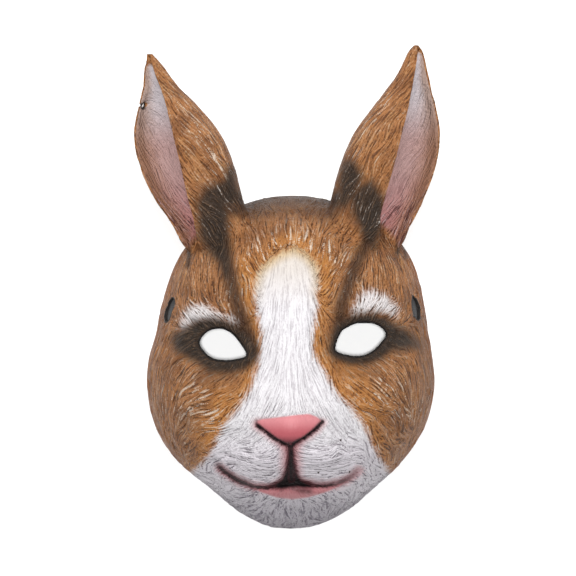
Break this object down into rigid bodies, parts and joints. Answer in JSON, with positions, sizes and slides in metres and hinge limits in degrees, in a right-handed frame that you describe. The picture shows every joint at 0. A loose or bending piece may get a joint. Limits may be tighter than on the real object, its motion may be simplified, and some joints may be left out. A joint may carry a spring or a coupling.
{
  "type": "rabbit face mask",
  "caption": "Moulded latex rabbit face mask with upright ears, fur relief, open eye holes and a flat elastic strap across the open back.",
  "frame": {"origin": "middle of the mask's box, on the plane of its back rim, which is the surface it lies on", "axes": "+Z out of the face, +Y from the chin to the ear tips, +X to the right as seen from the front"},
  "size_m": [0.2142, 0.339, 0.1012],
  "materials": {
    "painted_latex": "cast latex with fur relief, airbrushed brown, white, pink and black, satin",
    "woven_elastic": "black flat woven elastic, matt"
  },
  "bodies": {
    "root": {"mask_shell": "painted_latex", "elastic_strap": "woven_elastic"}
  },
  "joints": []
}
